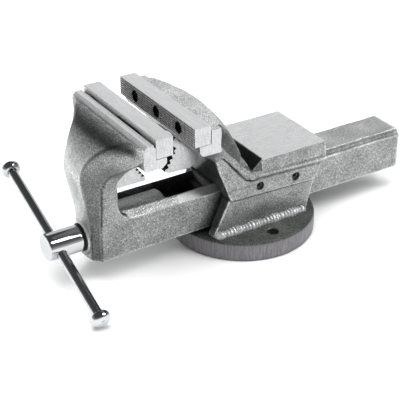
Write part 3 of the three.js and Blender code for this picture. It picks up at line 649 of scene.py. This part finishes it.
# groove below the bead on the side plate
gp = [(38.1, 66, 63.4), (38.1, 20, 65.2), (38.1, -14, 66.4), (38.1, -22, 69.4), (38.2, -28.5, 76.5), (38.4, -37.5, 87.5), (39.6, -47, 98), (42.5, -56, 106)]
for p, p2 in zip(gp, gp[1:]):
    F = smax(F, -seg(*p, *p2, 0.72), 0.3)
F = F + wobble(X, Y, Z, 0.16, 21)
v, q = nets(both_sides(F), np.concatenate([-xs[::-1], xs]), ys, zs)
fj = make_quads("fixed_jaw_casting", v, q)
print("fixed jaw quads", len(q))
cuts = [
    box("c", -25.6, 25.6, -120, 120, 10, 62.7),
    prism("c", [(-100, 80), (-100, 118), (-79.8, 118), (-56.6, 94.6), (-56.6, 80)][::-1], "x", -PH, PH),
    box("c", -80, 80, -110, -74.2, 130.1, 160),
    box("c", -80, 80, -110, 0, 142.4, 170),
    box("c", 62.5, 80, -110, 0, 90, 170), box("c", -80, -62.5, -110, 0, 90, 170),
    box("c", -60, 60, -30, 90, 84.5, 110),
    box("c", -60, 60, -90, 90, 0, 17.4),
]
for s in (-1, 1):
    for y_, z_ in ((-6.5, 59.2), (33, 57.6)):
        cuts.append(lathe("c", [(0, 20), (4.3, 20), (4.3, 60), (0, 60)], (0, y_, z_), (s, 0, 0), 40))
cut(fj, cuts)
# tops of the fixed jaw take the lighter paint: painted light
set_finish_and_painted_light(fj, 5, lambda c, n: (c[:, 2] > 142.0) & (n[:, 2] > 0.9))
set_finish_and_painted_light(fj, 2, lambda c, n: (np.abs(n[:, 0]) > 0.97) & (np.abs(c[:, 0]) > 62.2) & (c[:, 2] > 100))
set_finish_and_painted_light(fj, 3, lambda c, n: (c[:, 2] > 84.2) & (c[:, 2] < 86) & (n[:, 2] > 0.9) & (c[:, 1] > -4))
# painted shade inside the channel under the body
set_finish_and_painted_light(fj, 4, lambda c, n: (np.abs(c[:, 0]) < 25.7) & (c[:, 2] < 62.8))
# painted shade on the fixed body's front faces
set_finish_and_painted_light(fj, 7, lambda c, n: (n[:, 1] < -0.55) & (c[:, 2] < 120) & (c[:, 1] < -30) & (np.abs(c[:, 0]) < 39))
# painted shade on the trough's front wall
set_finish_and_painted_light(fj, 6, lambda c, n: (np.abs(c[:, 0]) < 34.4) & (c[:, 1] > -26) & (c[:, 1] < -2.6) & (c[:, 2] < 83.6) & (c[:, 2] > 64) & (n[:, 1] < -0.5))
def off_bead(c):
    q_ = np.abs(c[:, 0])[:, None]; best = np.full(len(c), 99.0)
    for p, p2 in zip(pts, pts[1:]):
        pa, pb = np.array(p), np.array(p2); cc = np.column_stack([q_[:, 0], c[:, 1], c[:, 2]])
        u_ = np.clip(((cc - pa) @ (pb - pa)) / ((pb - pa) @ (pb - pa)), 0, 1)
        best = np.minimum(best, np.linalg.norm(cc - pa - u_[:, None] * (pb - pa), axis=1))
    return best
# painted shade on the web that hangs below the crescent
set_finish_and_painted_light(fj, 7, lambda c, n: (c[:, 1] > np.interp(c[:, 2], [72, 78.5, 88.5, 98.5, 106, 114, 122], [-16, -25.5, -34, -42, -50, -58, -64.8])) & (off_bead(c) > 4.2) & (np.abs(n[:, 0]) > 0.30) & (np.abs(c[:, 0]) > 34) & (c[:, 1] > -64.9) & (c[:, 1] < -6) & (c[:, 2] > 74.5) & (c[:, 2] < 141.7) & (np.abs(c[:, 0]) < 62.2))
painted_cavity_light(fj, F, xs, ys, zs)
smooth(fj, 28)
place(fj, "vise_body", ["fixed_jaw_body"], [PAINT, BRUSHED_X, BRUSHED_Z, BRUSHED, PAINT_DARK, CRESCENT_LIT, CREVICE_SHADE, PAINT_SHADE_WEB])

# ------------------------------------------------------------------ base disc
def disc():
    rs = np.random.RandomState(5); n = 288
    th = np.arange(n) * 2 * math.pi / n
    streak = np.zeros(n)
    for k, g in ((9, 0.05), (23, 0.05), (57, 0.05), (96, 0.05), (131, 0.04)):
        streak += g * np.sin(k * th + rs.uniform(0, 6.28))
    prof = [(0, 0), (60, 0), (66.6, 0), (67.5, 0.4), (67.9, 1.3)] + [(67.95, z_) for z_ in (3, 5, 7, 9, 11, 13, 14.6)] + [(67.8, 15.6), (67.3, 16.5), (66.3, 16.95), (64.5, 17.05), (58, 17.02), (0, 17.02)]
    verts, rings = [], []
    for i, (rr_, z_) in enumerate(prof):
        if rr_ == 0: rings.append([len(verts)]); verts.append((0, 0, z_)); continue
        rings.append(list(range(len(verts), len(verts) + n)))
        edge = 1.0 if rr_ > 66.5 else 0.3 if rr_ > 64 else 0
        for j in range(n):
            d = edge * (streak[j] + rs.normal() * 0.03)
            if 15 < z_ < 17 and 66.5 < rr_ < 68: d += max(0, math.sin(th[j] * 31 + 1.3) * math.sin(th[j] * 7 + 2)) * 0.28
            verts.append((math.cos(th[j]) * (rr_ + d), math.sin(th[j]) * (rr_ + d), z_))
    faces = []
    for p, q_ in zip(rings, rings[1:]):
        for i in range(n):
            j = (i + 1) % n
            if len(p) == 1: faces.append((p[0], q_[j], q_[i]))
            elif len(q_) == 1: faces.append((p[i], p[j], q_[0]))
            else: faces.append((p[i], p[j], q_[j], q_[i]))
    o = make("base_disc", verts, faces); fix_normals(o)
    cs = []
    for s in (-1, 1):
        cs.append(lathe("c", [(0, -2), (6.1, -2), (6.1, 0.15), (5.25, 1.0), (5.25, 16.2), (6.0, 17.0), (6.0, 20), (0, 20)], (s * 51, 0, 0), (0, 0, 1), 48))
    for y_ in (-43, -27):
        cs.append(lathe("c", [(0, -2), (7.5, -2), (7.5, 9), (4.5, 9), (4.5, 30), (0, 30)], (0, y_, 0), (0, 0, 1), 40))
    cut(o, cs)
    faces_where(o, 1, lambda c, nn: (np.hypot(c[:, 0], c[:, 1]) > 66.8) & (np.abs(nn[:, 2]) < 0.8))
    smooth(o, 30)
    place(o, "vise_body", ["base_plate"], [BASE_TOP, RIM])
disc()

def weld(name, s, slot_node):
    rs = np.random.RandomState(11 + s); ny, na = 220, 9
    verts, faces = [], []
    ph = rs.uniform(0, 6.28, 6)
    for i in range(ny):
        y_ = -51.5 + 99.5 * i / (ny - 1)
        end = min(1, i / 5, (ny - 1 - i) / 5) ** 0.5
        rip = 0.86 + 0.10 * abs(math.sin(y_ * 0.95 + ph[0])) + 0.12 * math.sin(y_ * 0.31 + ph[1]) + 0.06 * math.sin(y_ * 1.9 + ph[2]) + rs.normal() * 0.02
        for j in range(na):
            a_ = math.pi / 2 * j / (na - 1)
            x_ = 34.1 + 5.6 * end * rip * math.cos(a_); z_ = 17.1 + 5.6 * end * rip * math.sin(a_)
            verts.append((s * x_, y_, z_))
        verts.append((s * 34.1, y_, 17.1))
    m_ = na + 1
    for i in range(ny - 1):
        for j in range(m_):
            k = (j + 1) % m_
            faces.append((i * m_ + j, i * m_ + k, (i + 1) * m_ + k, (i + 1) * m_ + j))
    faces += [tuple(range(m_)), tuple(range((ny - 1) * m_, ny * m_))[::-1]]
    o = make(name, verts, faces); fix_normals(o); smooth(o, 60)
    place(o, "vise_body", [slot_node], [WELD])
weld("weld_right", 1, "base_weld_bead_right"); weld("weld_left", -1, "base_weld_bead_left")

# ------------------------------------------------------------------ jaw plates
def knurled_plate(name, face, d, nodes, body):
    """Plate with a cross-cut grip face; d points from the face into the plate."""
    p = 2.15; z0, z1, hx, tk = 130.4, 147.3, 62.5, 16.1
    m_ = 5
    gx = np.linspace(-hx, hx, int(round(2 * hx / p)) * m_ + 1)
    gz = np.linspace(z0, z1, int(round((z1 - z0) / p)) * m_ + 1)
    nx, nz = len(gx), len(gz)
    def groove(i):
        k = abs(((i % m_) + m_ / 2) % m_ - m_ / 2) / (m_ / 2)
        return max(0.0, 1 - k * 1.7)
    verts = np.zeros((nx, nz, 3))
    verts[..., 0] = gx[:, None]; verts[..., 2] = gz[None, :]
    dep = np.maximum(np.array([groove(i) for i in range(nx)])[:, None], np.array([groove(i) for i in range(nz)])[None, :])
    border = (np.minimum(gx + hx, hx - gx) < 0.9)[:, None] | (np.minimum(gz - z0, z1 - gz) < 0.7)[None, :]
    edge = (np.minimum(gx + hx, hx - gx) < 0.01)[:, None] | (np.minimum(gz - z0, z1 - gz) < 0.01)[None, :]
    verts[..., 1] = face + d * (0.62 * dep)
    V = verts.reshape(-1, 3).tolist(); faces = []
    for i in range(nx - 1):
        for j in range(nz - 1):
            faces.append((i * nz + j, (i + 1) * nz + j, (i + 1) * nz + j + 1, i * nz + j + 1))
    ring = [(i, 0) for i in range(nx)] + [(nx - 1, j) for j in range(1, nz)] + [(i, nz - 1) for i in range(nx - 2, -1, -1)] + [(0, j) for j in range(nz - 2, 0, -1)]
    def loop(inset, y_):
        k0 = len(V)
        for i, j in ring:
            x_ = max(-hx + inset, min(hx - inset, gx[i])); z_ = max(z0 + inset, min(z1 - inset, gz[j]))
            V.append([x_, y_, z_])
        return list(range(k0, k0 + len(ring)))
    prev = [i * nz + j for i, j in ring]
    for ins, y_ in ((0, face + d * 0.9), (0, face + d * (tk - 0.5)), (0.45, face + d * tk)):
        cur = loop(ins, y_)
        for k in range(len(ring)):
            l = (k + 1) % len(ring)
            faces.append((prev[k], prev[l], cur[l], cur[k]))
        prev = cur
    faces.append(tuple(prev))
    o = make(name, V, faces); fix_normals(o)
    at = o.data.attributes.new("depth", "FLOAT", "POINT")
    co = np.empty(3 * len(o.data.vertices), np.float32); o.data.vertices.foreach_get("co", co)
    at.data.foreach_set("value", np.clip((co[1::3] / MM - face) * d / 0.62, 0, 1).astype(np.float32))
    cs = []
    for x_ in (-36.2, 0, 36.2):
        cs.append(lathe("c", [(0, -3), (6.6, -3), (5.1, 0.55), (4.9, 0.9), (4.9, 7.5), (3.3, 7.5), (3.3, 30), (0, 30)], (x_, face, 138.3), (0, d, 0), 48))
    cut(o, cs)
    top = lambda c, n: (n[:, 2] > 0.9) & (c[:, 2] > z1 - 0.3)
    faces_where(o, 1, top)
    faces_where(o, 2, lambda c, n: (np.abs(n[:, 0]) > 0.9) & (np.abs(c[:, 0]) > 62.3))
    smooth(o, 24)
    place(o, body, nodes, [KNURL, BRUSHED_X, BRUSHED_Z])
knurled_plate("fixed_plate_gripface", -90.6, 1, ["fixed_jaw_plate"], "vise_body")
knurled_plate("moving_plate_gripface", -110.1, -1, ["moving_jaw_plate"], "slide")

def hex_screw(name, prof, origin, axis, hexr, hexdepth, body, nodes, mat=None):
    o = lathe(name, prof, origin, axis, 48)
    if hexr:
        c = lathe("c", [(0, -2), (hexr * 1.12, -2), (hexr * 1.12, 0.0), (hexr, 0.35), (hexr, hexdepth), (0, hexdepth + hexr * 0.5)], origin, axis, 6)
        cut(o, [c])
    smooth(o, 28)
    place(o, body, nodes, [mat or BLACK])
for x_, nm in ((-36.2, "left"), (0, "middle"), (36.2, "right")):
    for face, d, body, who in ((-90.6, 1, "vise_body", "fixed"), (-110.1, -1, "slide", "moving")):
        hex_screw(f"{who}_cap_screw_{nm}", [(0, 0), (4.1, 0), (4.6, 0.5), (4.6, 4.8), (3, 4.8), (3, 20.5), (0, 20.5)],
                  (x_, face + d * 2.4, 138.3), (0, d, 0), 2.3, 3, body, [f"{who}_plate_screw_{nm}"])
for s, sd in ((1, "right"), (-1, "left")):
    for y_, z_, fr in ((-6.5, 59.2, "front"), (33, 57.6, "rear")):
        hex_screw(f"set_screw_{sd}_{fr}", [(0, 0), (3.4, 0), (4.0, 0.6), (4.0, 9.6), (3, 10.0), (0, 10.0)],
                  (s * 35.4, y_, z_), (-s, 0, 0), 2.3, 4, "vise_body", [f"gib_screw_{sd}_{fr}"], IRON)
for y_, nm in ((-43, "front"), (-27, "rear")):
    hex_screw(f"nut_cap_screw_{nm}", [(0, 0), (6.2, 0), (6.8, 0.6), (6.8, 7.7), (4, 7.7), (4, 25.5), (3.4, 26), (0, 26)],
              (0, y_, 1.0), (0, 0, 1), 3.4, 4, "vise_body", [f"nut_bolt_{nm}"])

# ------------------------------------------------------------------ pipe jaws
def pipe(name, a_, b_, p, q_, side, body, nd, tail):
    d_ = ((q_[0] - p[0]) / 5, (q_[1] - p[1]) / 5); ln = math.hypot(*d_)
    m_ = (d_[1] / ln, -d_[0] / ln)
    t_ = []
    for i in range(5):
        e_ = 1.3 if i else 0
        t_.append((p[0] + d_[0] * i - m_[0] * e_, p[1] + d_[1] * i - m_[1] * e_))
        t_.append((p[0] + d_[0] * (i + 0.5) + m_[0] * 1.6, p[1] + d_[1] * (i + 0.5) + m_[1] * 1.6))
    t_.append(q_)
    o = prism(name, a_ + (t_[1:] if tail else t_) + b_, "x", -15, 15)
    bevel(o, 0.35, 2, 20)
    # the toothed faces keep the near-black steel, which also stands as painted shade in the teeth
    faces_where(o, 1, lambda c, n: np.abs(n[:, 0]) > 0.9)
    smooth(o, 30)
    place(o, body, [nd], [PIPE, BRUSHED_Z])
pipe("fixed_pipe_grip", [(-57, 88), (-57, 94.2), (-80.2, 117.4), (-83, 114), (-83, 110.5)], [(-86, 84.6), (-66, 83.6)], (-79.5, 106.5), (-90.6, 86.4), 1, "vise_body", "fixed_pipe_jaw", False)
pipe("moving_pipe_grip", [(-143.4, 84.5), (-110.6, 84.5)], [(-119.8, 110), (-119.8, 114), (-128, 114), (-132, 102), (-139, 99.5), (-143.4, 94)], (-110.6, 86.4), (-123.5, 104), 1, "slide", "moving_pipe_jaw", True)

# ------------------------------------------------------------------ spindle
AX = 38.5
def spindle_piece():
    prof = [(0, -200.2), (10.6, -200.2), (11.3, -199.95), (11.85, -199.4), (12.0, -198.6)] + [(12.0, y_) for y_ in np.arange(-197.6, -171, 0.8)] + \
           [(12.0, -170.2), (11.7, -169.3), (11.2, -168.9), (10.0, -168.9), (10.0, -168.2), (10.0, -90), (10.0, -78.5), (8.0, -77.4), (8.0, -76.8), (0, -76.8)]
    o = lathe("spindle_head_and_shank", prof, (0, 0, AX), (0, 1, 0), 144)
    cut(o, [
        lathe("c", [(0, -30), (4.9, -30), (4.9, 30), (0, 30)], (0, -190.2, AX), (0.9366722, 0, -0.3502074), 48),
        lathe("c", [(0, -20), (2.15, -20), (2.15, 20), (0, 20)], (0, -82, AX), (0, 0, 1), 24)])
    smooth(o, 30)
    place(o, "spindle", ["spindle"], [CHROME])
    # square thread, 4 mm pitch, right hand
    n, y0, y1 = 48, -76.9, 92.0
    yy = np.concatenate([[y0], np.arange(y0 + 0.01, y1 - 2, 0.4), [y1 - 2, y1 - 1, y1]])
    verts, faces = [], []
    for y_ in yy:
        for j in range(n):
            th = 2 * math.pi * j / n
            ph = ((y_ / 4.0 - th / (2 * math.pi)) % 1.0)
            k = 0.5 + 0.5 * max(-1, min(1, math.cos(2 * math.pi * ph) * 2.6))
            run = min(1, (y_ - y0) / 4)
            rad = 8.0 + 1.95 * k * run
            if y_ > y1 - 2: rad = min(rad, 9.9 - (y_ - (y1 - 2)) * 0.95)
            verts.append((rad * math.cos(th), y_, AX + rad * math.sin(th)))
    for i in range(len(yy) - 1):
        for j in range(n):
            k = (j + 1) % n
            faces.append((i * n + j, i * n + k, (i + 1) * n + k, (i + 1) * n + j))
    faces += [tuple(range(n)), tuple(range((len(yy) - 1) * n, len(yy) * n))]
    t_ = make("spindle_thread", verts, faces); fix_normals(t_); smooth(t_, 40)
    place(t_, "spindle", ["spindle"], [STEEL])
spindle_piece()

# the ring takes the black finish, which also stands as painted shade where the head meets the casting
o = lathe("thrust_ring", [(10.3, -168.5), (12.2, -168.5), (12.7, -168.1), (12.7, -167.3), (12.3, -166.9), (10.3, -166.9), (10.3, -168.5)], (0, 0, AX), (0, 1, 0), 72)
smooth(o, 30); place(o, "slide", ["thrust_washer"], [BLACK])
o = lathe("retaining_collar", [(10.25, -86.8), (10.7, -86.8), (11.2, -86.3), (11.2, -78.5), (10.7, -78), (10.25, -78), (10.25, -86.8)], (0, 0, AX), (0, 1, 0), 72)
cut(o, [lathe("c", [(0, -20), (2.3, -20), (2.3, 20), (0, 20)], (0, -82, AX), (0, 0, 1), 24)])
smooth(o, 30); place(o, "spindle", ["spindle_collar"], [STEEL])
o = lathe("spring_pin", [(0, -11), (1.6, -11), (2, -10.5), (2, 10.5), (1.6, 11), (0, 11)], (0, -82, AX), (0, 0, 1), 32)
smooth(o, 30); place(o, "spindle", ["collar_pin"], [BLACK])

# nut block with its bore and bevelled edges
o = box("nut_block", -14.1, 14.1, -50, -20, 27.6, 54)
cut(o, [box("c", -7.4, 7.4, -50, -20, 21.65, 27.8)], "UNION")
cut(o, [lathe("c", [(0, -60), (10.6, -60), (10.6, -51), (10.35, -49.6), (10.35, -20.4), (10.6, -19), (10.6, -10), (0, -10)], (0, 0, AX), (0, 1, 0), 64)])
cut(o, [lathe("c", [(0, 15), (4.3, 15), (4.3, 27.6), (0, 27.6)], (0, y_, 0), (0, 0, 1), 32) for y_ in (-43, -27)])
bevel(o, 0.5, 2, 50); smooth(o, 30)
place(o, "vise_body", ["spindle_nut"], [IRON])

# ------------------------------------------------------------------ tommy bar
U = (0.9366722, 0, -0.3502074)
BC = (-4.95 * U[0], -190.2, AX - 4.95 * U[2])
o = lathe("sliding_bar", [(0, -84.0), (4.3, -84.0), (4.6, -83.6)] + [(4.6, d_) for d_ in range(-80, 81, 8)] + [(4.6, 83.6), (4.3, 84.0), (0, 84.0)], BC, U, 64)
smooth(o, 30); place(o, "tommy_bar", ["tommy_bar"], [CHROME])
KP = [(0, 84.3), (6.0, 84.3), (6.7, 84.42), (7.7, 84.9), (8.35, 85.8), (8.7, 86.8), (8.8, 88.0), (8.75, 89.0), (8.5, 90.2), (7.95, 91.2), (7.1, 92.1), (5.9, 92.8), (4.9, 93.2), (4.2, 93.35), (3.9, 93.15), (3.6, 93.2), (3.3, 93.5), (0, 93.7)]
for s, nm in ((1, "lower"), (-1, "upper")):
    o = lathe(f"bar_end_{nm}", KP, BC, tuple(s * c for c in U), 64)
    smooth(o, 25); place(o, "tommy_bar", [f"bar_knob_{nm}"], [CHROME])

# gib strips stay as they are, with their own finish and broken edges
for s in ("right", "left"):
    g = next(ob for ob in bpy.data.objects if ob.name == f"gib_strip_{s}")
    g.data.materials.clear(); g.data.materials.append(STEEL)
    md = g.modifiers.new("edge", "BEVEL"); md.width, md.segments = 0.4 * MM, 2

# ------------------------------------------------------------------ floor and light
bm = bmesh.new()
bmesh.ops.create_grid(bm, x_segments=40, y_segments=40, size=6.0)
me = bpy.data.meshes.new("floor"); bm.to_mesh(me); bm.free()
floor = link(me, "floor"); floor.location.z = -0.0002
fm, nt, b = material("floor_white")
nt.links.new(ramp(nt, noise(nt, coords(nt), 3, 2), [(0.0, 0.92), (1.0, 0.94)]), b.inputs["Base Color"])
b.inputs["Roughness"].default_value = 0.6
me.materials.append(fm)

def area(name, loc, aim, size, power, sy_=None, color=(1, 1, 1), glossy=True):
    l = bpy.data.lights.new(name, "AREA"); l.energy = power; l.color = color
    l.shape = "RECTANGLE"; l.size = size; l.size_y = sy_ or size
    o_ = bpy.data.objects.new(name, l); bpy.context.scene.collection.objects.link(o_)
    o_.location = loc
    o_.visible_glossy = glossy
    o_.rotation_euler = (Vector(aim) - Vector(loc)).to_track_quat("-Z", "Y").to_euler()
    return o_
area("key_back_right", (0.65, 0.62, 1.05), (0, 0, 0.06), 0.8, 9)
area("sheen_back_left", (-1.25, 0.85, 0.85), (0, 0, 0.06), 1.3, 2.3, 0.9)
area("overhead", (-0.05, -0.25, 1.9), (0, -0.05, 0.0), 1.6, 40, glossy=False)
area("low_front_left", (-0.65, -1.35, 0.36), (-0.03, -0.17, 0.09), 1.0, 14, 0.6, glossy=False)
wd = bpy.data.worlds.new("studio"); bpy.context.scene.world = wd; wd.use_nodes = True
wt = wd.node_tree
bg = wt.nodes["Background"]; bg.inputs["Strength"].default_value = 1.0
tc = node(wt, "ShaderNodeTexCoord"); sp = node(wt, "ShaderNodeSeparateXYZ")
wt.links.new(tc.outputs["Generated"], sp.inputs["Vector"])
wt.links.new(ramp(wt, sp.outputs["Z"], [(0.0, 0.72), (0.10, 0.55), (0.30, 0.24), (0.55, 0.10), (1.0, 0.09)]), bg.inputs["Color"])

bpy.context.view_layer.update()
